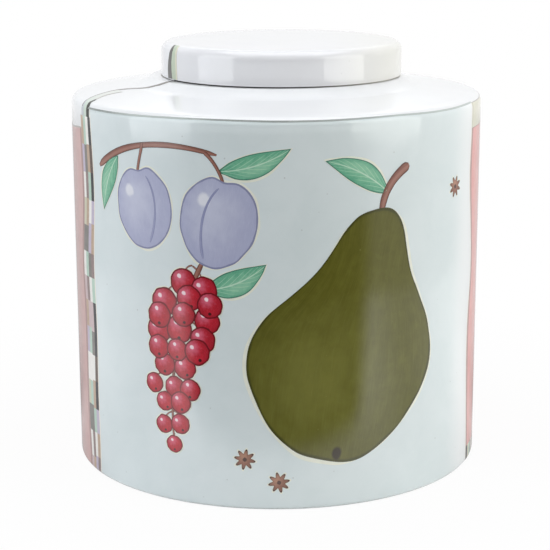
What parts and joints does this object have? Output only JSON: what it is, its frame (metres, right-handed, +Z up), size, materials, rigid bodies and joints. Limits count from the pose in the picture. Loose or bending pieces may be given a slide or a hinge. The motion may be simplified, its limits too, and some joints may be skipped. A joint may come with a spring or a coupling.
{
  "type": "rumtopf pot",
  "caption": "Straight-sided glazed ceramic fruit-preserving pot with a sloping shoulder, short neck and loose cap lid.",
  "frame": {"origin": "centre of the ring that the pot stands on", "axes": "+Z up along the pot's axis and out through its mouth, -Y towards the painted front"},
  "size_m": [0.205, 0.205, 0.2109],
  "materials": {
    "white_glaze": "glossy white glaze over a pale clay body",
    "painted_glaze": "coloured enamel fired into the glaze"
  },
  "bodies": {
    "pot": {"pot_body": "white_glaze"},
    "lid": {"lid": "white_glaze"}
  },
  "joints": [
    {"name": "lid_lift", "type": "slide", "parent": "pot", "child": "lid", "axis": [0, 0, 1], "range_m": [0, 0.08]}
  ]
}
